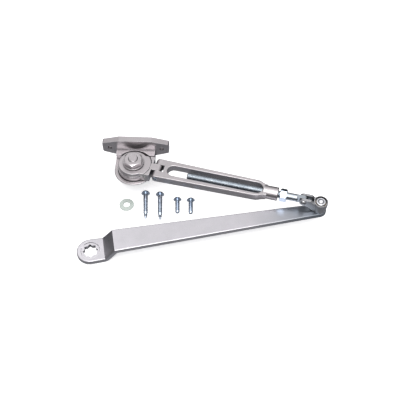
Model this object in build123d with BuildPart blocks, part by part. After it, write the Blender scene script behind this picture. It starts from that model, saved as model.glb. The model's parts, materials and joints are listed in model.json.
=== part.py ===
"""Hold-open arm of a surface door closer, laid out folded with its loose fixings.

Units are millimetres.  The origin is the centre of the spindle socket, on the underside of
the main arm's pad, which is also the surface that everything lies on.  +Z is up, and +Y
points at the door frame's face that the shoe is screwed to.
"""
import os
from math import asin, cos, radians, sin, sqrt, tan

from build123d import *

os.makedirs("parts", exist_ok=True)

# ---------------------------------------------------------------- layout of the two arms
main_arm_length = 284.0      # socket centre to elbow stud
main_arm_angle = 12.8        # direction of the main arm from its socket
fore_arm_length = 239.0      # shoe bolt to elbow stud, as adjusted
fore_arm_angle = -12.0       # direction of the forearm from the shoe bolt
centre_line = 33.15           # height of the forearm's centre line
running_gap = 0.05           # radial clearance of a pin that turns in its hole
press_gap = 0.02             # radial clearance drawn between a pressed pin and its hole
free_gap = 0.3               # clearance between faces that pass each other

# ---------------------------------------------------------------- main arm
bar_thickness = 6.35
pad_radius = 16.4
blade_rise = 14.3
pad_fold = 16.2              # from the socket centre to where the ramp starts, on top
blade_fold = 29.3            # from the socket centre to where the ramp ends, on top
blade_end_radius = 8.7       # round the elbow
edge_round = 1.4             # rounded outline of the bar
socket_across_flats = 13.6   # each of the two squares of the eight-pointed socket
socket_dish_radius = 11.6
socket_dish_depth = 0.9

# ---------------------------------------------------------------- shoe and friction clutch
cup_radius = 25.2
pocket_radius = 20.9
cup_foot_radius = 18.2       # the cup tapers in below its rim
cup_underside = 16.5
cup_floor = 20.4
cup_rim = 25.35
rim_round = 1.2
cup_shoulder = 20.0
shelf_top = 33.15
shelf_front = 17.0           # distance of the shelf's front edge from the bolt
shelf_half_length = 24.6
shelf_hollow_radius = 24.6   # room above the rim for the clutch plate to swing
plate_front = 26.0           # distance of the plate's front face from the bolt
plate_back = 34.6            # distance of the plate's mounting face from the bolt
plate_half_length = 43.0
plate_flat_half_length = 21.0
plate_centre_height = 35.75
plate_half_height = 13.2
plate_end_half_height = 7.7
plate_end_setback = 1.0      # how much the ends are thinner than the middle
shoe_hole_spacing = 67.0
shoe_hole_radius = 3.2
bolt_radius = 6.3
bolt_head_bottom = 5.5
bolt_stub_radius = 3.4       # rounded middle of the head, which stands on the surface
bolt_head_height = 5.0
bolt_head_across_flats = 17.0
bolt_top = 48.15
nut_across_flats = 21.5
nut_bottom = 40.25
nut_top = 46.4
hub_radius = 20.0
hub_bottom = 22.0
hub_top = 33.05
clutch_plate_radius = 19.0
clutch_plate_top = 38.15
lobe_radius = 22.4           # round end of the clutch plate, towards the forearm
link_half_width = 15.1
link_underside = 26.15
link_bush_wall = 1.7
ear_radius = 23.3            # hollow faces of the ears, round the bolt
ear_end = 24.6
dowel_offset = 12.2          # of the two dowels that key the plate to the link, from the bolt
dowel_radius = 1.47
dowel_hole_radius = 1.5
dowel_sink = 4.0             # depth of a dowel in the link
dowel_rise = 2.8             # height of a dowel in the plate

# ---------------------------------------------------------------- forearm
fork_pin_place = 32.0        # distances along the forearm are measured from the shoe bolt
fork_pin_radius = 2.5
sleeve_thickness = 10.3
tongue_half_width = 5.0
notch_half_width = 5.3
notch_end = 40.3
sleeve_half_width = 14.8     # at the fork
sleeve_end_half_width = 12.4
sleeve_taper_end = 158.0
slot_start = 44.8
slot_end = 166.8
slot_half_width = 8.1
neck_radius = 8.4
neck_start = 170.0
neck_end = 186.2
rod_radius = 4.7
rod_start = 70.6
rod_thread_end = 197.0
rod_end = 209.5
thread_pitch = 1.5875
thread_depth = 0.65
jam_nut_start = 188.7
jam_nut_length = 8.4
jam_nut_across_flats = 14.3
rivet_place = 218.2
rivet_radius = 2.4
eye_radius = 4.7
eye_half_width = 2.5

# ---------------------------------------------------------------- elbow
knuckle_half_width = 5.6
knuckle_fork_radius = 5.0
barrel_radius = 8.7
barrel_foot_radius = 7.9
barrel_top = 35.95
recess_floor = 33.7          # bottom of the recess that the cap sits in
recess_radius = 7.7
stud_radius = 5.0
bush_radius = 6.3
elbow_washer_thickness = 0.6
cap_radius = 6.0

# ---------------------------------------------------------------- loose fixings
wood_screw_places = ((58.6, 89.4, -85.2), (77.2, 88.4, -85.7))
machine_screw_places = ((100.0, 81.4, -86.5), (117.0, 81.0, -87.2))
washer_place = (35.4, 73.8)
recess_span = 5.6            # cross recess in the screw heads
recess_width = 1.1
recess_depth = 2.1

# ---------------------------------------------------------------- values worked out from these
elbow_x = main_arm_length * cos(radians(main_arm_angle))
elbow_y = main_arm_length * sin(radians(main_arm_angle))
bolt_x = elbow_x - fore_arm_length * cos(radians(fore_arm_angle))
bolt_y = elbow_y - fore_arm_length * sin(radians(fore_arm_angle))
blade_underside = blade_rise
blade_top = blade_rise + bar_thickness


# ---------------------------------------------------------------- planes
def plan(x, y, turn=0.0):
    """A plane on the table, turned about the vertical by `turn` degrees."""
    return Plane(origin=(x, y, 0), x_dir=(cos(radians(turn)), sin(radians(turn)), 0), z_dir=(0, 0, 1))


def level(base, z, x=0.0, y=0.0):
    """A horizontal plane at height z over a point of the base plane."""
    return Plane(origin=base.from_local_coords((x, y, z)), x_dir=base.x_dir, z_dir=base.z_dir)


def upright(base, x=0.0, y=0.0, z=0.0):
    """A vertical plane along the base's X axis.  Its own Y is up."""
    return Plane(origin=base.from_local_coords((x, y, z)), x_dir=base.x_dir, z_dir=-base.y_dir)


def square_to(base, x=0.0, y=0.0, z=0.0):
    """A vertical plane square to the base's X axis.  Its own X runs across, its Y is up."""
    return Plane(origin=base.from_local_coords((x, y, z)), x_dir=base.y_dir, z_dir=base.x_dir)


arm = plan(0, 0, main_arm_angle)
elbow = plan(elbow_x, elbow_y, fore_arm_angle)
fore = plan(bolt_x, bolt_y, fore_arm_angle)
shoe = plan(bolt_x, bolt_y)


def write(piece, name):
    piece.part.label = name
    export_step(piece.part, f"parts/{name}.step")


# ---------------------------------------------------------------- profiles used more than once
def washer(plane, bottom, top, outer, inner, edge_break=0.0):
    """A flat ring between two heights, with its outer top edge broken if asked."""
    with BuildPart() as piece:
        with BuildSketch(level(plane, bottom)):
            Circle(outer)
            Circle(inner, mode=Mode.SUBTRACT)
        extrude(amount=top - bottom)
        if edge_break:
            chamfer(piece.faces().sort_by(Axis.Z)[-1].outer_wire().edges(), edge_break)
    return piece


def dome_middle(radius, height):
    """Radius and height of the point halfway along a spherical dome's outline."""
    sphere = (radius ** 2 + height ** 2) / (2 * height)
    half_angle = asin(min(1.0, radius / sphere)) / 2
    return sphere * sin(half_angle), sphere * cos(half_angle) - sphere + height


def thread_points(start, end, crest, depth, pitch):
    """Zigzag outline of ring grooves between two places along a rod."""
    count = int((end - start) / pitch)
    points = []
    for index in range(count):
        place = start + index * pitch
        points.append((place, crest))
        points.append((place + 0.25 * pitch, crest))
        points.append((place + 0.55 * pitch, crest - depth))
        points.append((place + 0.7 * pitch, crest - depth))
    points.append((start + count * pitch, crest))
    return points


# ================================================================ shoe
def build_shoe_bracket():
    with BuildPart() as shoe_bracket:
        # plate: its plan has a thicker middle, its front view has sloping ends
        with BuildSketch(level(shoe, plate_centre_height - plate_half_height)):
            with BuildLine():
                Polyline(
                    (-plate_half_length, plate_back),
                    (plate_half_length, plate_back),
                    (plate_half_length, plate_front + plate_end_setback),
                    (plate_flat_half_length + 3, plate_front),
                    (-plate_flat_half_length - 3, plate_front),
                    (-plate_half_length, plate_front + plate_end_setback),
                    close=True,
                )
            make_face()
        extrude(amount=2 * plate_half_height)
        with BuildSketch(upright(shoe, z=plate_centre_height)):
            with BuildLine():
                Polyline(
                    (-plate_half_length, -plate_end_half_height),
                    (-plate_half_length, plate_end_half_height),
                    (-plate_flat_half_length, plate_half_height),
                    (plate_flat_half_length, plate_half_height),
                    (plate_half_length, plate_end_half_height),
                    (plate_half_length, -plate_end_half_height),
                    (plate_flat_half_length, -plate_half_height),
                    (-plate_flat_half_length, -plate_half_height),
                    close=True,
                )
            make_face()
        extrude(amount=-2 * plate_back, both=True, mode=Mode.INTERSECT)
        fillet(shoe_bracket.edges().filter_by(Axis.Y), 2.0)
        # cup: a bowl with a rounded rim, carried back to the plate by straight sides
        rim_inset = rim_round * (1 - cos(radians(45)))
        with BuildSketch(level(shoe, cup_shoulder)):
            with Locations((0, (plate_front + 1) / 2)):
                Rectangle(2 * cup_radius, plate_front + 1)
        extrude(amount=cup_rim - cup_shoulder)
        with BuildSketch(level(shoe, cup_shoulder)):
            with Locations((0, (shelf_front + plate_front + 1) / 2)):
                Rectangle(2 * shelf_half_length, plate_front + 1 - shelf_front)
        extrude(amount=shelf_top - cup_shoulder)
        with BuildSketch(upright(shoe)):
            with BuildLine():
                Polyline(
                    (0, cup_underside),
                    (cup_foot_radius, cup_underside),
                    (cup_radius, cup_rim - rim_round),
                )
                ThreePointArc(
                    (cup_radius, cup_rim - rim_round),
                    (cup_radius - rim_inset, cup_rim - rim_inset),
                    (cup_radius - rim_round, cup_rim),
                )
                Polyline((cup_radius - rim_round, cup_rim), (0, cup_rim), (0, cup_underside))
            make_face()
        revolve(axis=Axis(level(shoe, 0).origin, (0, 0, 1)))
        with BuildSketch(level(shoe, cup_rim)):
            Circle(shelf_hollow_radius)
        extrude(amount=plate_back, mode=Mode.SUBTRACT)
        with BuildSketch(level(shoe, cup_floor)):
            Circle(pocket_radius)
        extrude(amount=plate_back, mode=Mode.SUBTRACT)
        with BuildSketch(level(shoe, 0)):
            Circle(bolt_radius + 0.15)
        extrude(amount=cup_floor + 1, mode=Mode.SUBTRACT)
        # screw holes
        front_face = upright(shoe, y=plate_front - 1, z=plate_centre_height)
        with BuildSketch(front_face):
            with GridLocations(shoe_hole_spacing, 1, 2, 1):
                Circle(shoe_hole_radius)
        extrude(amount=-plate_back, mode=Mode.SUBTRACT)
    return shoe_bracket


def build_clutch_bolt():
    head_top = bolt_head_bottom + bolt_head_height
    corner_radius = bolt_head_across_flats / sqrt(3)
    with BuildPart() as clutch_bolt:
        # hexagon head, tapered underneath
        with BuildSketch(level(shoe, bolt_head_bottom)):
            RegularPolygon(bolt_head_across_flats / 2, 6, major_radius=False)
        extrude(amount=bolt_head_height)
        with BuildSketch(upright(shoe)):
            with BuildLine():
                Polyline(
                    (0, bolt_head_bottom),
                    (bolt_head_across_flats / 2 - 0.6, bolt_head_bottom),
                    (corner_radius + 0.1, bolt_head_bottom + 1.3),
                    (corner_radius + 0.1, head_top),
                    (0, head_top),
                    close=True,
                )
            make_face()
        revolve(axis=Axis(level(shoe, 0).origin, (0, 0, 1)), mode=Mode.INTERSECT)
        side = upright(shoe)
        with BuildSketch(side):
            thread = thread_points(hub_top, bolt_top - 1.5, bolt_radius, 0.7, 1.95)
            outline = [(0, 0), (bolt_stub_radius - 1, 0), (bolt_stub_radius, 1)]
            outline += [(bolt_stub_radius, bolt_head_bottom + 1), (bolt_radius, bolt_head_bottom + 1)]
            for place, radius in thread:
                outline.append((radius, place))
            outline.append((bolt_radius - 0.2, bolt_top - 1.0))
            outline.append((bolt_radius - 1.2, bolt_top))
            outline.append((0, bolt_top))
            with BuildLine():
                Polyline(*outline, close=True)
            make_face()
        revolve(axis=Axis(side.origin, (0, 0, 1)))
    return clutch_bolt


def build_spring_seat_washer():
    bottom = bolt_head_bottom + bolt_head_height + 0.02
    return washer(shoe, bottom, bottom + 1.1, 11.5, bolt_radius + 0.2)


def build_spring_washers():
    cone_height = 0.6
    cone_thickness = 0.95
    lowest = bolt_head_bottom + bolt_head_height + 1.15
    step = cone_height + cone_thickness
    with BuildPart() as spring_washers:
        side = upright(shoe)
        for index in range(3):
            low = lowest + index * (step + 0.03)
            inner_low = low + cone_height * ((index + 1) % 2)
            outer_low = low + cone_height * (index % 2)
            with BuildSketch(side):
                with BuildLine():
                    Polyline(
                        (bolt_radius + 0.3, inner_low),
                        (11.4, outer_low),
                        (11.4, outer_low + cone_thickness),
                        (bolt_radius + 0.3, inner_low + cone_thickness),
                        close=True,
                    )
                make_face()
            revolve(axis=Axis(side.origin, (0, 0, 1)))
    return spring_washers


def build_lower_friction_disc():
    return washer(shoe, cup_floor + 0.02, hub_bottom - 0.1, 17.8, bolt_radius + 0.3)


def build_upper_friction_disc():
    return washer(shoe, clutch_plate_top + 0.06, clutch_plate_top + 0.86, 12.7, bolt_radius + 0.2)


def build_clutch_washer():
    return washer(shoe, clutch_plate_top + 0.88, nut_bottom - 0.03, 13.2, bolt_radius + 0.1, 0.3)


def build_clutch_nut():
    with BuildPart() as clutch_nut:
        with BuildSketch(level(shoe, nut_bottom)):
            RegularPolygon(nut_across_flats / 2, 6, major_radius=False, rotation=30)
            Circle(bolt_radius + running_gap, mode=Mode.SUBTRACT)
        extrude(amount=nut_top - nut_bottom)
        # rounded corners of the hexagon, top and bottom
        side = upright(shoe)
        corner_radius = nut_across_flats / sqrt(3)
        drop = (corner_radius - nut_across_flats / 2 + 0.6) * tan(radians(30))
        with BuildSketch(side):
            with BuildLine():
                Polyline(
                    (0, nut_bottom),
                    (corner_radius + 0.1, nut_bottom),
                    (corner_radius + 0.1, nut_top - drop),
                    (nut_across_flats / 2 - 0.5, nut_top),
                    (0, nut_top),
                    close=True,
                )
            make_face()
        revolve(axis=Axis(side.origin, (0, 0, 1)), mode=Mode.INTERSECT)
    return clutch_nut


# ================================================================ link between shoe and forearm
def lobe_sketch(radius, half_width, reach):
    """A round end of the given radius on a strip that runs towards the forearm."""
    with BuildSketch() as lobe:
        Circle(radius)
        with Locations((reach / 2, 0)):
            Rectangle(reach, 2 * half_width, mode=Mode.INTERSECT)
    return lobe.sketch


def build_clutch_plate():
    with BuildPart() as clutch_plate:
        with BuildSketch(level(fore, hub_top + 0.02)):
            add(lobe_sketch(lobe_radius, link_half_width, 2 * lobe_radius))
            Circle(clutch_plate_radius)
            Circle(bolt_radius + 0.4, mode=Mode.SUBTRACT)
        extrude(amount=clutch_plate_top - hub_top - 0.02)
        top_edges = clutch_plate.faces().sort_by(Axis.Z)[-1].outer_wire().edges()
        fillet(top_edges, 0.8)
        with BuildSketch(level(fore, hub_top)):
            with Locations((0, dowel_offset), (0, -dowel_offset)):
                Circle(dowel_hole_radius)
        extrude(amount=dowel_rise + 0.2, mode=Mode.SUBTRACT)
    return clutch_plate


def build_plate_dowels():
    with BuildPart() as plate_dowels:
        with BuildSketch(level(fore, hub_top - dowel_sink)):
            with Locations((0, dowel_offset), (0, -dowel_offset)):
                Circle(dowel_radius)
        extrude(amount=dowel_sink + dowel_rise)
    return plate_dowels


def build_hold_open_link():
    with BuildPart() as hold_open_link:
        with BuildSketch(level(fore, hub_bottom)):
            Circle(hub_radius)
        extrude(amount=hub_top - hub_bottom)
        # neck under the clutch plate, out to the ears
        with BuildSketch(level(fore, link_underside)):
            with Locations((ear_end / 2, 0)):
                Rectangle(ear_end, 2 * link_half_width)
        extrude(amount=hub_top - link_underside)
        # ears, hollow towards the clutch plate
        top = centre_line + sleeve_thickness / 2
        with BuildSketch(level(fore, hub_top - 1)):
            with Locations((ear_end / 2, 0)):
                Rectangle(ear_end, 2 * link_half_width)
            Circle(ear_radius, mode=Mode.SUBTRACT)
        extrude(amount=top - hub_top + 1)
        # tongue, round about the fork pin
        with BuildSketch(upright(fore, z=centre_line)):
            with Locations((fork_pin_place, 0)):
                Circle(sleeve_thickness / 2)
            with Locations(((fork_pin_place + ear_radius) / 2, 0)):
                Rectangle(fork_pin_place - ear_radius, sleeve_thickness)
            with Locations((ear_end - 1, 0)):
                Rectangle(2, sleeve_thickness)
        extrude(amount=tongue_half_width, both=True)
        with BuildSketch(upright(fore, z=centre_line)):
            with Locations((fork_pin_place, 0)):
                Circle(fork_pin_radius + running_gap)
        extrude(amount=2 * tongue_half_width, both=True, mode=Mode.SUBTRACT)
        # bore for the bush
        with BuildSketch(level(fore, hub_bottom - 1)):
            Circle(bolt_radius + link_bush_wall)
        extrude(amount=hub_top, mode=Mode.SUBTRACT)
        with BuildSketch(level(fore, hub_top - dowel_sink - 0.2)):
            with Locations((0, dowel_offset), (0, -dowel_offset)):
                Circle(dowel_hole_radius)
        extrude(amount=dowel_sink + 1, mode=Mode.SUBTRACT)
        ear_corners = hold_open_link.edges().filter_by(Axis.Z).filter_by(
            lambda edge: abs(fore.to_local_coords(edge.center()).X - ear_end) < 0.1
            and abs(fore.to_local_coords(edge.center()).Y) > link_half_width - 0.1
        )
        fillet(ear_corners, 1.5)
    return hold_open_link


def build_link_bush():
    return washer(
        fore, hub_bottom + 0.1, hub_top, bolt_radius + link_bush_wall, bolt_radius + running_gap
    )


def build_fork_pin():
    half_length = sleeve_half_width - 0.7
    with BuildPart() as fork_pin:
        with BuildSketch(upright(fore, x=fork_pin_place, z=centre_line)):
            Circle(fork_pin_radius)
        extrude(amount=half_length, both=True)
        chamfer(fork_pin.edges(), 0.4)
    return fork_pin


# ================================================================ forearm
def half_width_at(place):
    share = (place - fork_pin_place) / (sleeve_taper_end - fork_pin_place)
    return sleeve_half_width + (sleeve_end_half_width - sleeve_half_width) * share


def build_forearm_sleeve():
    half_thickness = sleeve_thickness / 2
    tip = fork_pin_place - half_thickness
    with BuildPart() as forearm_sleeve:
        # outline from above: fork corners cut back, long taper, shoulders down to the neck
        with BuildSketch(level(fore, centre_line)):
            with BuildLine():
                for side in (1, -1):
                    corner = (tip + 3.0, side * half_width_at(tip))
                    shoulder = (sleeve_taper_end, side * sleeve_end_half_width)
                    neck_corner = (neck_start + 2, side * neck_radius)
                    Line((tip, side * (sleeve_half_width - 3.0)), corner)
                    Line(corner, shoulder)
                    Spline(
                        shoulder,
                        neck_corner,
                        tangents=[(1, -0.02 * side), (1, -0.02 * side)],
                    )
                    Line(neck_corner, (neck_start + 2, 0))
                Line((tip, sleeve_half_width - 3.0), (tip, 3.0 - sleeve_half_width))
            make_face()
        extrude(amount=half_thickness, both=True)
        # both prongs are round about the fork pin, seen from the side
        with BuildSketch(upright(fore, z=centre_line)):
            with Locations((fork_pin_place, 0)):
                Circle(half_thickness)
            with Locations(((fork_pin_place + neck_end) / 2, 0)):
                Rectangle(neck_end - fork_pin_place, sleeve_thickness)
        extrude(amount=2 * sleeve_half_width, both=True, mode=Mode.INTERSECT)
        # long slot that shows the rod
        with BuildSketch(level(fore, centre_line)):
            with Locations(((slot_start + slot_end) / 2, 0)):
                SlotOverall(slot_end - slot_start, 2 * slot_half_width)
        extrude(amount=sleeve_thickness, both=True, mode=Mode.SUBTRACT)
        long_edges = forearm_sleeve.edges().filter_by(
            lambda edge: edge.length > 40 and abs(edge.center().Z - centre_line) > half_thickness - 0.1
        )
        fillet(long_edges, 0.9)
        # fork notch
        with BuildSketch(level(fore, centre_line)):
            with Locations((notch_end / 2, 0)):
                Rectangle(notch_end, 2 * notch_half_width)
        extrude(amount=sleeve_thickness, both=True, mode=Mode.SUBTRACT)
        # round threaded neck
        with BuildSketch(square_to(fore, x=neck_start - 1.5, z=centre_line)):
            Circle(neck_radius)
        extrude(amount=neck_end - neck_start + 1.5)
        neck_rim = forearm_sleeve.faces().filter_by(
            lambda face: abs(fore.to_local_coords(face.center()).X - neck_end) < 0.1
        )
        fillet(neck_rim.edges(), 1.0)
        with BuildSketch(square_to(fore, x=slot_end - 3, z=centre_line)):
            Circle(rod_radius + 0.08)
        extrude(amount=neck_end - slot_end + 6, mode=Mode.SUBTRACT)
        # pin hole across the fork
        with BuildSketch(upright(fore, x=fork_pin_place, z=centre_line)):
            Circle(fork_pin_radius + press_gap)
        extrude(amount=2 * sleeve_half_width, both=True, mode=Mode.SUBTRACT)
    return forearm_sleeve


def build_threaded_rod():
    with BuildPart() as threaded_rod:
        axis_plane = upright(fore, z=centre_line)
        outline = [(rod_start, 0), (rod_start, rod_radius - 1.2)]
        outline += thread_points(rod_start + 1.2, rod_thread_end, rod_radius, thread_depth, thread_pitch)
        outline += [(rod_end, rod_radius), (rod_end + 1.2, rod_radius - 0.6), (rod_end + 1.2, 0)]
        with BuildSketch(axis_plane):
            with BuildLine():
                Polyline(*outline, close=True)
            make_face()
        revolve(axis=Axis(axis_plane.origin, axis_plane.x_dir))
        # flattened eye
        with BuildSketch(axis_plane):
            with Locations((rivet_place, 0)):
                Circle(eye_radius)
            with Locations(((rod_end + rivet_place) / 2, 0)):
                Rectangle(rivet_place - rod_end, 2 * eye_radius)
        extrude(amount=eye_half_width, both=True)
        with BuildSketch(axis_plane):
            with Locations((rivet_place, 0)):
                Circle(rivet_radius + running_gap)
        extrude(amount=2 * eye_half_width, both=True, mode=Mode.SUBTRACT)
    return threaded_rod


def build_jam_nut():
    with BuildPart() as jam_nut:
        corner_radius = jam_nut_across_flats / sqrt(3)
        with BuildSketch(square_to(fore, x=jam_nut_start, z=centre_line)):
            RegularPolygon(corner_radius, 6, rotation=30)
            Circle(rod_radius + running_gap, mode=Mode.SUBTRACT)
        extrude(amount=jam_nut_length)
        chamfer_length = 1.1
        side = upright(fore, x=jam_nut_start, z=centre_line)
        with BuildSketch(side):
            with BuildLine():
                Polyline(
                    (0, 0),
                    (0, jam_nut_across_flats / 2 - 0.2),
                    (chamfer_length, corner_radius + 0.1),
                    (jam_nut_length - chamfer_length, corner_radius + 0.1),
                    (jam_nut_length, jam_nut_across_flats / 2 - 0.2),
                    (jam_nut_length, 0),
                    close=True,
                )
            make_face()
        revolve(axis=Axis(side.origin, side.x_dir), mode=Mode.INTERSECT)
    return jam_nut


# ================================================================ elbow
def build_elbow_knuckle():
    fork_place = rivet_place - fore_arm_length
    barrel_bottom = blade_top + elbow_washer_thickness + 0.05
    fork_top = centre_line + knuckle_fork_radius
    fork_bottom = centre_line - knuckle_fork_radius
    with BuildPart() as elbow_knuckle:
        with BuildSketch(upright(elbow)):
            with BuildLine():
                Polyline(
                    (0, barrel_bottom),
                    (barrel_foot_radius, barrel_bottom),
                    (barrel_radius, barrel_top - 4.5),
                    (barrel_radius, barrel_top - 0.6),
                    (barrel_radius - 0.5, barrel_top),
                    (0, barrel_top),
                    close=True,
                )
            make_face()
        revolve(axis=Axis(level(elbow, 0).origin, (0, 0, 1)))
        # side view: a round fork end, then an arm that drops in an S to the barrel
        with BuildSketch(upright(elbow)):
            with BuildLine():
                ThreePointArc(
                    (fork_place, fork_top),
                    (fork_place - knuckle_fork_radius, centre_line),
                    (fork_place, fork_bottom),
                )
                Spline(
                    (fork_place, fork_bottom),
                    (-12.2, fork_bottom - 2.6),
                    (-5.0, barrel_bottom),
                    tangents=[(1, 0), (1, 0)],
                )
                Line((-5.0, barrel_bottom), (0, barrel_bottom))
                Line((0, barrel_bottom), (0, barrel_top - 1.0))
                Line((0, barrel_top - 1.0), (-7.0, barrel_top - 1.0))
                Spline(
                    (-7.0, barrel_top - 1.0),
                    (-13.0, fork_top),
                    tangents=[(-1, 0), (-1, 0)],
                )
                Line((-13.0, fork_top), (fork_place, fork_top))
            make_face()
        extrude(amount=knuckle_half_width, both=True)
        # fork notch and pin hole
        with BuildSketch(level(elbow, 0)):
            with Locations((fork_place / 2 - 8.5, 0)):
                Rectangle(-fork_place, 2 * (eye_half_width + free_gap))
        extrude(amount=2 * barrel_top, mode=Mode.SUBTRACT)
        with BuildSketch(upright(elbow, x=fork_place, z=centre_line)):
            Circle(rivet_radius + press_gap)
        extrude(amount=2 * knuckle_half_width, both=True, mode=Mode.SUBTRACT)
        # recess for the cap, and bore for the bush
        with BuildSketch(level(elbow, recess_floor)):
            Circle(recess_radius)
        extrude(amount=barrel_top, mode=Mode.SUBTRACT)
        with BuildSketch(level(elbow, 0)):
            Circle(bush_radius)
        extrude(amount=2 * barrel_top, mode=Mode.SUBTRACT)
    return elbow_knuckle


def build_elbow_rivet():
    head_radius = 3.5
    head_height = 2.2
    middle_radius, middle_height = dome_middle(head_radius, head_height)
    with BuildPart() as elbow_rivet:
        across = square_to(elbow, x=rivet_place - fore_arm_length, z=centre_line)
        tip = knuckle_half_width + head_height
        with BuildSketch(across):
            with BuildLine():
                ThreePointArc(
                    (-tip, 0),
                    (-knuckle_half_width - middle_height, middle_radius),
                    (-knuckle_half_width, head_radius),
                )
                Polyline(
                    (-knuckle_half_width, head_radius),
                    (-knuckle_half_width, rivet_radius),
                    (knuckle_half_width, rivet_radius),
                    (knuckle_half_width, head_radius),
                )
                ThreePointArc(
                    (knuckle_half_width, head_radius),
                    (knuckle_half_width + middle_height, middle_radius),
                    (tip, 0),
                )
                Line((tip, 0), (-tip, 0))
            make_face()
        revolve(axis=Axis(across.origin, across.x_dir))
    return elbow_rivet


def build_elbow_bush():
    return washer(
        elbow, blade_top + elbow_washer_thickness + 0.1, recess_floor, bush_radius, stud_radius + running_gap
    )


def build_elbow_washer():
    top = blade_top + elbow_washer_thickness
    return washer(elbow, blade_top + 0.01, top, barrel_foot_radius - 0.2, stud_radius + running_gap)


def build_elbow_stud():
    head_drop = 2.6
    head_radius = 6.6
    head_flat_radius = 3.2
    head_bottom = blade_underside - head_drop
    stud_top = recess_floor + 0.2
    screw_hole_radius = 2.5
    screw_hole_depth = 12.0
    with BuildPart() as elbow_stud:
        side = upright(elbow)
        with BuildSketch(side):
            with BuildLine():
                Polyline(
                    (0, head_bottom),
                    (0, stud_top),
                    (stud_radius, stud_top),
                    (stud_radius, blade_underside - 0.01),
                    (head_radius, blade_underside - 0.01),
                )
                ThreePointArc(
                    (head_radius, blade_underside - 0.01),
                    (head_radius - 1.2, head_bottom + 0.7),
                    (head_flat_radius, head_bottom),
                )
                Line((head_flat_radius, head_bottom), (0, head_bottom))
            make_face()
        revolve(axis=Axis(side.origin, (0, 0, 1)))
        with BuildSketch(level(elbow, stud_top)):
            Circle(screw_hole_radius)
        extrude(amount=-screw_hole_depth, mode=Mode.SUBTRACT)
    return elbow_stud


def build_elbow_screw():
    """Domed cap screw: a dished flange with a smaller dome inside it."""
    seat = recess_floor + 0.35
    dome_radius = 4.2
    dome_base = seat + 1.3
    dome_height = 2.7
    middle_radius, middle_height = dome_middle(dome_radius, dome_height)
    with BuildPart() as elbow_screw:
        side = upright(elbow)
        with BuildSketch(side):
            with BuildLine():
                Line((0, seat - 10), (2.0, seat - 10))
                Line((2.0, seat - 10), (2.45, seat - 9.4))
                Line((2.45, seat - 9.4), (2.45, seat))
                Line((2.45, seat), (cap_radius - 0.5, seat))
                Line((cap_radius - 0.5, seat), (cap_radius, seat + 0.6))
                ThreePointArc(
                    (cap_radius, seat + 0.6),
                    (cap_radius - 0.4, seat + 1.6),
                    (cap_radius - 1.5, seat + 1.9),
                )
                Line((cap_radius - 1.5, seat + 1.9), (dome_radius, dome_base))
                ThreePointArc(
                    (dome_radius, dome_base),
                    (middle_radius, dome_base + middle_height),
                    (0, dome_base + dome_height),
                )
                Line((0, dome_base + dome_height), (0, seat - 10))
            make_face()
        revolve(axis=Axis(side.origin, (0, 0, 1)))
        # two spanner holes
        with BuildSketch(level(elbow, seat + 2.2)):
            with Locations((1.7, 0), (-1.7, 0)):
                Circle(0.6)
        extrude(amount=4, mode=Mode.SUBTRACT)
    return elbow_screw


# ================================================================ main arm
def build_main_arm():
    ramp_slope = (blade_fold - pad_fold, blade_rise)
    ramp_length = sqrt(ramp_slope[0] ** 2 + ramp_slope[1] ** 2)
    # the underside's folds lie further along by thickness times the tangent of half the bend
    fold_shift = bar_thickness * (ramp_length - ramp_slope[0]) / ramp_slope[1]
    arm_end = main_arm_length + blade_end_radius
    with BuildPart() as main_arm:
        # outline from above: one long taper between the round pad and the round elbow end
        with BuildSketch(arm):
            Circle(pad_radius)
            with Locations((main_arm_length, 0)):
                Circle(blade_end_radius)
            make_hull()
        extrude(amount=blade_top)
        # side view: pad, ramp and blade
        with BuildSketch(upright(arm)):
            with BuildLine():
                Polyline(
                    (-pad_radius - 1, 0),
                    (pad_fold + fold_shift, 0),
                    (blade_fold + fold_shift, blade_underside),
                    (arm_end + 1, blade_underside),
                    (arm_end + 1, blade_top),
                    (blade_fold, blade_top),
                    (pad_fold, bar_thickness),
                    (-pad_radius - 1, bar_thickness),
                    close=True,
                )
            side_face = make_face()
            corners = side_face.vertices()
            inner_corners = [v for v in corners if near(arm, v, pad_fold, bar_thickness)]
            crest = [v for v in corners if near(arm, v, blade_fold, blade_top)]
            heel = [v for v in corners if near(arm, v, pad_fold + fold_shift, 0)]
            hollow = [v for v in corners if near(arm, v, blade_fold + fold_shift, blade_underside)]
            fillet(inner_corners, 2.5)
            fillet(crest, 3.5)
            fillet(heel, 9.0)
            fillet(hollow, 7.0)
        extrude(amount=2 * pad_radius, both=True, mode=Mode.INTERSECT)
        # rounded long edges, on top and underneath
        fillet(outline_edges(main_arm), edge_round)
        # eight-pointed spindle socket: two squares, with a shallow dish on top
        with BuildSketch(arm):
            Rectangle(socket_across_flats, socket_across_flats)
            Rectangle(socket_across_flats, socket_across_flats, rotation=45)
        extrude(amount=bar_thickness, mode=Mode.SUBTRACT)
        with BuildSketch(level(arm, bar_thickness - socket_dish_depth)):
            Circle(socket_dish_radius - 0.6)
        with BuildSketch(level(arm, bar_thickness)):
            Circle(socket_dish_radius)
        loft(mode=Mode.SUBTRACT)
        # stud hole
        with BuildSketch(level(arm, blade_underside - 1, x=main_arm_length)):
            Circle(stud_radius)
        extrude(amount=bar_thickness + 2, mode=Mode.SUBTRACT)
    return main_arm


def outline_edges(bar):
    """Edges of the bar's outline: those between its side walls and its broad faces."""
    walls = bar.faces().filter_by(lambda face: abs(face.normal_at().Z) < 0.05)
    broad = bar.faces().filter_by(lambda face: abs(face.normal_at().Z) > 0.2)
    broad_edges = [edge for face in broad for edge in face.edges()]
    return [edge for face in walls for edge in face.edges() if edge in broad_edges]


def near(base, vertex, x, z):
    """True for a vertex at distance x along the base plane and height z."""
    local = base.to_local_coords(vertex)
    return abs(local.X - x) < 0.01 and abs(local.Z - z) < 0.01


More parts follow.
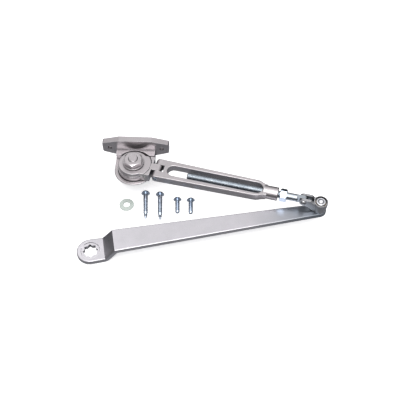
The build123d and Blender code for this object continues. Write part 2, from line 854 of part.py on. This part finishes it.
# ================================================================ loose fixings
def screw_side(x, y, turn, head_radius, tail_radius, length):
    """Plane through a lying screw's axis: X runs from under the head to the tip, Y is up."""
    tilt = (head_radius - tail_radius) / length
    base = plan(x, y, turn)
    along = Vector(base.x_dir.X, base.x_dir.Y, -tilt)
    return Plane(origin=(x, y, head_radius), x_dir=along, z_dir=-base.y_dir)


def round_head(radius, height):
    """Half outline of a round head, from its top to its rim."""
    middle_radius, middle_height = dome_middle(radius, height)
    ThreePointArc((-height, 0), (-middle_height, middle_radius), (0, radius))


def head_plane(side, head_height):
    """Plane just above a lying screw's head, facing into the head."""
    return Plane(origin=side.from_local_coords((-head_height - 1, 0, 0)), x_dir=side.y_dir, z_dir=side.x_dir)


def build_wood_screws():
    head_radius = 5.4
    head_height = 3.6
    shank_radius = 2.75
    shank_length = 38.1
    tip_height = 1.9         # the screw rests on its head's rim and its last full thread
    with BuildPart() as wood_screws:
        for x, y, turn in wood_screw_places:
            side = screw_side(x, y, turn, head_radius, tip_height, shank_length)
            threads = thread_points(12.0, shank_length - 8.0, shank_radius, 0.75, 2.3)
            with BuildSketch(side):
                with BuildLine():
                    round_head(head_radius, head_height)
                    outline = [(0, head_radius), (0.2, shank_radius), (12.0, shank_radius)]
                    outline += threads[1:]
                    outline += [
                        (shank_length - 6.5, shank_radius - 0.9),
                        (shank_length - 5.4, shank_radius - 0.5),
                        (shank_length - 4.2, shank_radius - 1.5),
                        (shank_length - 3.0, shank_radius - 1.3),
                        (shank_length, 0),
                        (-head_height, 0),
                    ]
                    Polyline(*outline)
                make_face()
            revolve(axis=Axis(side.origin, side.x_dir))
            with BuildSketch(head_plane(side, head_height)):
                Rectangle(recess_span, recess_width)
                Rectangle(recess_width, recess_span)
            extrude(amount=recess_depth + 1, mode=Mode.SUBTRACT)
    return wood_screws


def build_machine_screws():
    head_radius = 5.2
    head_height = 3.2
    shank_radius = 2.7
    shank_length = 19.0
    with BuildPart() as machine_screws:
        for x, y, turn in machine_screw_places:
            side = screw_side(x, y, turn, head_radius, shank_radius, shank_length)
            with BuildSketch(side):
                with BuildLine():
                    round_head(head_radius, head_height)
                    outline = [(0, head_radius), (0.2, shank_radius)]
                    outline += thread_points(1.2, shank_length - 1.0, shank_radius, 0.45, 1.06)
                    outline += [(shank_length, shank_radius - 0.6), (shank_length, 0), (-head_height, 0)]
                    Polyline(*outline)
                make_face()
            revolve(axis=Axis(side.origin, side.x_dir))
            with BuildSketch(head_plane(side, head_height)):
                Rectangle(recess_span, recess_width)
                Rectangle(recess_width, recess_span)
            extrude(amount=recess_depth + 1, mode=Mode.SUBTRACT)
    return machine_screws


def build_spindle_washer():
    return washer(plan(*washer_place), 0, 1.7, 9.3, 4.1, 0.4)


builders = {
    "shoe_bracket": build_shoe_bracket,
    "clutch_bolt": build_clutch_bolt,
    "spring_seat_washer": build_spring_seat_washer,
    "spring_washers": build_spring_washers,
    "lower_friction_disc": build_lower_friction_disc,
    "upper_friction_disc": build_upper_friction_disc,
    "clutch_washer": build_clutch_washer,
    "clutch_nut": build_clutch_nut,
    "clutch_plate": build_clutch_plate,
    "plate_dowels": build_plate_dowels,
    "hold_open_link": build_hold_open_link,
    "link_bush": build_link_bush,
    "fork_pin": build_fork_pin,
    "forearm_sleeve": build_forearm_sleeve,
    "threaded_rod": build_threaded_rod,
    "jam_nut": build_jam_nut,
    "elbow_knuckle": build_elbow_knuckle,
    "elbow_rivet": build_elbow_rivet,
    "elbow_bush": build_elbow_bush,
    "elbow_washer": build_elbow_washer,
    "elbow_stud": build_elbow_stud,
    "elbow_screw": build_elbow_screw,
    "main_arm": build_main_arm,
    "wood_screws": build_wood_screws,
    "machine_screws": build_machine_screws,
    "spindle_washer": build_spindle_washer,
}

for name, build in builders.items():
    write(build(), name)
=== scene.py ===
"""Looks of the hold-open door closer arm: materials, floor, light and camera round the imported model."""
import json
import math

import bpy
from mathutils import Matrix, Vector


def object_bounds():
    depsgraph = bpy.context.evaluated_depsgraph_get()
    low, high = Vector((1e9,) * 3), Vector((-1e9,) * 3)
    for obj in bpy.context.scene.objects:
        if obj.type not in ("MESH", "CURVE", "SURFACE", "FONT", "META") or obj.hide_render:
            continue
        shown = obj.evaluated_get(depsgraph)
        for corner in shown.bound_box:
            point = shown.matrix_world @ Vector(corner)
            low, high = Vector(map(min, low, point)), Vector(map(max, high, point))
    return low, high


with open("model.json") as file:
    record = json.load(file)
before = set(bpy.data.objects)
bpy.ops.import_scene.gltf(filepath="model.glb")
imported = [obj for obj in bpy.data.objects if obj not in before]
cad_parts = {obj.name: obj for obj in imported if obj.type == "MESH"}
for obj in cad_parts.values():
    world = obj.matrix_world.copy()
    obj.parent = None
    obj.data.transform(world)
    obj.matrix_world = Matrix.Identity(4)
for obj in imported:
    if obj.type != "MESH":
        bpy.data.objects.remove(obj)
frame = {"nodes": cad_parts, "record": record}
cad_low, cad_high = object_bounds()

# ---------------------------------------------------------------- camera
CAMERA_LENS = 58.3           # mm
SENSOR_WIDTH = 36.0          # mm
CAMERA_DISTANCE = 0.835      # metres from the point it looks at
CAMERA_ELEVATION = 53.2      # degrees above the floor
CAMERA_TURN = 2.4            # degrees from square to the shoe's plate
AIM_OFFSET = Vector((-0.00602, 0.02159, -0.02613))   # from the middle of the object's box


def make_camera():
    aim = (cad_low + cad_high) / 2 + AIM_OFFSET
    elevation = math.radians(CAMERA_ELEVATION)
    turn = math.radians(CAMERA_TURN)
    back = Vector((
        math.sin(turn) * math.cos(elevation),
        -math.cos(turn) * math.cos(elevation),
        math.sin(elevation),
    ))
    data = bpy.data.cameras.new("camera")
    data.lens = CAMERA_LENS
    data.sensor_width = SENSOR_WIDTH
    camera = bpy.data.objects.new("camera", data)
    bpy.context.scene.collection.objects.link(camera)
    camera.location = aim + back * CAMERA_DISTANCE
    camera.rotation_mode = "QUATERNION"
    camera.rotation_quaternion = (-back).to_track_quat("-Z", "Y")
    bpy.context.scene.camera = camera


make_camera()


# ---------------------------------------------------------------- node helpers
EDGE_BEND = (0.75, 0.99)          # dot of bevelled and true normal, from a full edge to a flat
RECESS_OPENNESS = (0.25, 0.8)     # share of open sky, from a deep recess to an open face


class Shader:
    """A material under construction: short calls for the nodes that the finishes share."""

    def __init__(self, name):
        self.material = bpy.data.materials.new(name)
        self.material.use_nodes = True
        self.tree = self.material.node_tree
        self.principled = self.tree.nodes["Principled BSDF"]
        self.place = self.tree.nodes.new("ShaderNodeTexCoord").outputs["Object"]

    def node(self, kind, **settings):
        made = self.tree.nodes.new(kind)
        for key, value in settings.items():
            setattr(made, key, value)
        return made

    def link(self, source, target):
        self.tree.links.new(source, target)

    def noise(self, scale, detail=4.0, roughness=0.55):
        """Noise with features about 1/scale metres across."""
        made = self.node("ShaderNodeTexNoise")
        self.link(self.place, made.inputs["Vector"])
        made.inputs["Scale"].default_value = scale
        made.inputs["Detail"].default_value = detail
        made.inputs["Roughness"].default_value = roughness
        return made.outputs["Fac"]

    def spread(self, value, low, high, from_low=0.3, from_high=0.7):
        """The value's middle range stretched to low..high."""
        made = self.node("ShaderNodeMapRange")
        self.link(value, made.inputs["Value"])
        made.inputs["From Min"].default_value = from_low
        made.inputs["From Max"].default_value = from_high
        made.inputs["To Min"].default_value = low
        made.inputs["To Max"].default_value = high
        return made.outputs["Result"]

    def maths(self, operation, first, second):
        made = self.node("ShaderNodeMath", operation=operation)
        for socket, value in zip(made.inputs, (first, second)):
            if isinstance(value, (int, float)):
                socket.default_value = value
            else:
                self.link(value, socket)
        return made.outputs["Value"]

    def mix(self, share, first, second):
        """Blend of two colours, each a socket or an (r, g, b)."""
        made = self.node("ShaderNodeMix", data_type="RGBA")
        colour_inputs = [s for s in made.inputs if s.type == "RGBA"]
        for socket, value in zip(colour_inputs, (first, second)):
            if isinstance(value, tuple):
                socket.default_value = (*value, 1.0)
            else:
                self.link(value, socket)
        self.link(share, made.inputs["Factor"])
        return [s for s in made.outputs if s.type == "RGBA"][0]

    def averaged(self, first, second):
        return self.maths("ADD", self.maths("MULTIPLY", first, 0.5), self.maths("MULTIPLY", second, 0.5))

    def edges(self, radius):
        """Mask for the painted edge highlight: 1 at sharp edges, 0 on flats."""
        bevel = self.node("ShaderNodeBevel", samples=4)
        bevel.inputs["Radius"].default_value = radius
        geometry = self.node("ShaderNodeNewGeometry")
        dot = self.node("ShaderNodeVectorMath", operation="DOT_PRODUCT")
        self.link(bevel.outputs["Normal"], dot.inputs[0])
        self.link(geometry.outputs["Normal"], dot.inputs[1])
        return self.spread(dot.outputs["Value"], 1.0, 0.0, *EDGE_BEND)

    def recesses(self, distance):
        """Mask for painted shade: 1 deep in grooves, seams and pockets, 0 on open faces."""
        made = self.node("ShaderNodeAmbientOcclusion", samples=8)
        made.inputs["Distance"].default_value = distance
        return self.spread(made.outputs["AO"], 1.0, 0.0, *RECESS_OPENNESS)

    def bump(self, height, distance, strength=1.0):
        made = self.node("ShaderNodeBump")
        made.inputs["Distance"].default_value = distance
        made.inputs["Strength"].default_value = strength
        self.link(height, made.inputs["Height"])
        return made.outputs["Normal"]

    def finish(self, colour, roughness, normal=None, metallic=1.0):
        self.link(colour, self.principled.inputs["Base Color"])
        if isinstance(roughness, (int, float)):
            self.principled.inputs["Roughness"].default_value = roughness
        else:
            self.link(roughness, self.principled.inputs["Roughness"])
        if normal is not None:
            self.link(normal, self.principled.inputs["Normal"])
        self.principled.inputs["Metallic"].default_value = metallic
        return self.material


# ---------------------------------------------------------------- finishes
FLAKE = (0.86, 0.85, 0.87)
# near-white colour painted on edges as a highlight
PAINTED_EDGE_HIGHLIGHT = (0.98, 0.97, 0.98)
# near-black colour painted into recesses as shade
PAINTED_RECESS_SHADE = (0.045, 0.045, 0.05)
CLOUDS_PER_METRE = 55.0
FLAKES_PER_METRE = 2600.0
EDGE_RADIUS = 0.0014         # metres
RECESS_DISTANCE = 0.006      # metres
LACQUER_ROUGHNESS = (0.26, 0.38)
LACQUER_METALLIC = 0.93
PAINTED_REFLECTION_SPAN = (0.19, 0.27)       # metres along X between which the main arm's colour shades into a painted darker, bluer reflection


def lacquered_metal(name, tint, shade, grain_size, grain_depth, painted_elbow_reflection=None):
    """Silver lacquer: metallic flake, a fine cast or rolled grain, cloudy tone, painted highlight on
    edges, painted shade in recesses.

    The last argument is a darker, bluer painted reflection that the colour shades into towards the elbow.
    """
    s = Shader(name)
    clouds = s.noise(CLOUDS_PER_METRE, 3.0)
    flake = s.noise(FLAKES_PER_METRE, 2.0, 0.7)
    grain = s.noise(1.0 / grain_size, 5.0, 0.6)
    edge_highlight_mask = s.edges(EDGE_RADIUS)
    body = s.mix(s.spread(clouds, 0.0, 1.0), tint, shade)
    flaked = s.mix(s.spread(flake, 0.0, 0.35, 0.45, 0.75), body, FLAKE)
    # painted reflection: the colour is darkened and blued along X towards the elbow
    if painted_elbow_reflection is not None:
        along = s.node("ShaderNodeSeparateXYZ")
        s.link(s.place, along.inputs["Vector"])
        painted_reflection_share = s.spread(along.outputs["X"], 0.0, 1.0, *PAINTED_REFLECTION_SPAN)
        flaked = s.mix(painted_reflection_share, flaked, painted_elbow_reflection)
    # painted highlight: the colour is lightened to near-white on sharp edges, broken up by the grain
    edge_highlighted = s.mix(s.maths("MULTIPLY", edge_highlight_mask, s.spread(grain, 0.75, 1.0)), flaked, PAINTED_EDGE_HIGHLIGHT)
    # painted shade: ambient occlusion darkens the colour to near-black in grooves, seams and pockets
    colour = s.mix(s.recesses(RECESS_DISTANCE), edge_highlighted, PAINTED_RECESS_SHADE)
    rough = s.spread(s.averaged(clouds, grain), *LACQUER_ROUGHNESS)
    normal = s.bump(grain, grain_depth, 0.6)
    return s.finish(colour, rough, normal, LACQUER_METALLIC)


PLATING_CLOUDS_PER_METRE = 140.0
SCRATCHES_PER_METRE = 1500.0
SCRATCH_DEPTH = 0.00001      # metres


def bare_metal(name, bright, dull, roughness):
    """Plated or drawn metal with fine scratches and cloudy plating."""
    s = Shader(name)
    clouds = s.noise(PLATING_CLOUDS_PER_METRE, 4.0)
    scratches = s.noise(SCRATCHES_PER_METRE, 3.0, 0.7)
    colour = s.mix(s.spread(clouds, 0.0, 1.0), bright, dull)
    rough = s.spread(s.averaged(clouds, scratches), *roughness)
    normal = s.bump(scratches, SCRATCH_DEPTH, 0.5)
    return s.finish(colour, rough, normal, 1.0)


def dull_solid(name, first, second, roughness, grain_size, depth, metallic=0.0):
    """Moulded or dull plated stuff with a fine grain."""
    s = Shader(name)
    clouds = s.noise(220.0, 4.0)
    grain = s.noise(1.0 / grain_size, 4.0)
    colour = s.mix(s.spread(clouds, 0.0, 1.0), first, second)
    return s.finish(colour, s.spread(grain, *roughness), s.bump(grain, depth, 0.6), metallic)


MATERIALS = {
    "painted_cast": lacquered_metal(
        "painted_cast", (0.55, 0.515, 0.53), (0.47, 0.445, 0.455), 0.0011, 0.00006
    ),
    "painted_steel": lacquered_metal(
        "painted_steel", (0.60, 0.585, 0.62), (0.54, 0.53, 0.56), 0.0016, 0.00003, (0.27, 0.30, 0.34)
    ),
    "cast_knuckle": lacquered_metal(
        "cast_knuckle", (0.42, 0.425, 0.44), (0.30, 0.305, 0.32), 0.0009, 0.00014
    ),
    "zinc_steel": bare_metal("zinc_steel", (0.68, 0.76, 0.86), (0.56, 0.64, 0.76), (0.14, 0.28)),
    "bright_steel": bare_metal("bright_steel", (0.50, 0.54, 0.58), (0.40, 0.44, 0.48), (0.20, 0.36)),
    "chrome_cap": bare_metal("chrome_cap", (0.86, 0.87, 0.89), (0.80, 0.81, 0.84), (0.04, 0.12)),
    "bronze": bare_metal("bronze", (0.62, 0.43, 0.22), (0.45, 0.30, 0.15), (0.30, 0.5)),
    "spring_steel": bare_metal("spring_steel", (0.20, 0.20, 0.23), (0.12, 0.12, 0.15), (0.25, 0.45)),
    "friction": dull_solid(
        "friction", (0.06, 0.055, 0.05), (0.11, 0.10, 0.09), (0.6, 0.85), 0.0006, 0.0001
    ),
    "nylon": dull_solid(
        "nylon", (0.60, 0.66, 0.62), (0.52, 0.58, 0.54), (0.32, 0.5), 0.0012, 0.00003, 0.3
    ),
}

slots = {entry["node"]: entry["material_slot"] for entry in frame["record"]["subparts"]}
for node, thing in frame["nodes"].items():
    thing.data.materials.clear()
    thing.data.materials.append(MATERIALS[slots[node]])


# ---------------------------------------------------------------- floor, light and surroundings
FLOOR_SIZE = 60.0            # metres
FLOOR_GAP = 0.0002           # metres under the lowest piece
FLOOR_GLOW = 0.52


def make_floor():
    data = bpy.data.meshes.new("floor")
    half = FLOOR_SIZE / 2
    corners = [(-half, -half, 0), (half, -half, 0), (half, half, 0), (-half, half, 0)]
    data.from_pydata(corners, [], [(0, 1, 2, 3)])
    floor = bpy.data.objects.new("floor", data)
    bpy.context.scene.collection.objects.link(floor)
    floor.location.z = cad_low.z - FLOOR_GAP
    s = Shader("floor_paper")
    mottle = s.noise(30.0, 2.0)
    colour = s.mix(s.spread(mottle, 0.0, 1.0), (0.90, 0.90, 0.905), (0.88, 0.88, 0.885))
    s.principled.inputs["Emission Color"].default_value = (1.0, 1.0, 1.0, 1.0)
    s.principled.inputs["Emission Strength"].default_value = FLOOR_GLOW
    s.principled.inputs["Specular IOR Level"].default_value = 0.0
    data.materials.append(s.finish(colour, 0.9, None, 0.0))
    floor.visible_glossy = False


def make_area_light(name, place, size, power, colour):
    """A soft rectangle of light, in metres and watts, facing the middle of the object."""
    data = bpy.data.lights.new(name, "AREA")
    data.shape = "RECTANGLE"
    data.size = size[0]
    data.size_y = size[1]
    data.energy = power
    data.color = colour
    light = bpy.data.objects.new(name, data)
    bpy.context.scene.collection.objects.link(light)
    light.location = place
    aim = (cad_low + cad_high) / 2
    light.rotation_mode = "QUATERNION"
    light.rotation_quaternion = (aim - Vector(place)).to_track_quat("-Z", "Y")


WORLD_STRENGTH = 1.9
WORLD_TONES = (              # from straight down (0) to straight up (1)
    (0.0, (0.15, 0.155, 0.165)),
    (0.30, (0.09, 0.093, 0.10)),
    (0.45, (0.01, 0.011, 0.012)),
    (0.60, (0.02, 0.02, 0.022)),
    (0.76, (0.34, 0.335, 0.34)),
    (0.90, (0.46, 0.455, 0.46)),
    (1.0, (1.0, 1.0, 1.0)),
)


def make_surroundings():
    """Studio walls: bright overhead, dark round the horizon, dim below."""
    world = bpy.data.worlds.new("studio")
    world.use_nodes = True
    bpy.context.scene.world = world
    tree = world.node_tree
    background = tree.nodes["Background"]
    coordinates = tree.nodes.new("ShaderNodeTexCoord")
    split = tree.nodes.new("ShaderNodeSeparateXYZ")
    ramp = tree.nodes.new("ShaderNodeValToRGB")
    spread = tree.nodes.new("ShaderNodeMapRange")
    tree.links.new(coordinates.outputs["Generated"], split.inputs["Vector"])
    tree.links.new(split.outputs["Z"], spread.inputs["Value"])
    spread.inputs["From Min"].default_value = -1.0
    spread.inputs["From Max"].default_value = 1.0
    tree.links.new(spread.outputs["Result"], ramp.inputs["Fac"])
    tree.links.new(ramp.outputs["Color"], background.inputs["Color"])
    while len(ramp.color_ramp.elements) < len(WORLD_TONES):
        ramp.color_ramp.elements.new(0.5)
    for element, (position, colour) in zip(ramp.color_ramp.elements, WORLD_TONES):
        element.position = position
        element.color = (*colour, 1.0)
    background.inputs["Strength"].default_value = WORLD_STRENGTH


make_floor()
make_surroundings()
make_area_light("front_top", (0.13, -0.50, 1.25), (1.0, 1.0), 8.0, (1.0, 1.0, 1.0))
make_area_light("back_left", (-0.55, 0.80, 1.25), (0.5, 0.5), 0.5, (1.0, 0.98, 0.99))

bpy.context.scene.view_settings.view_transform = "Standard"
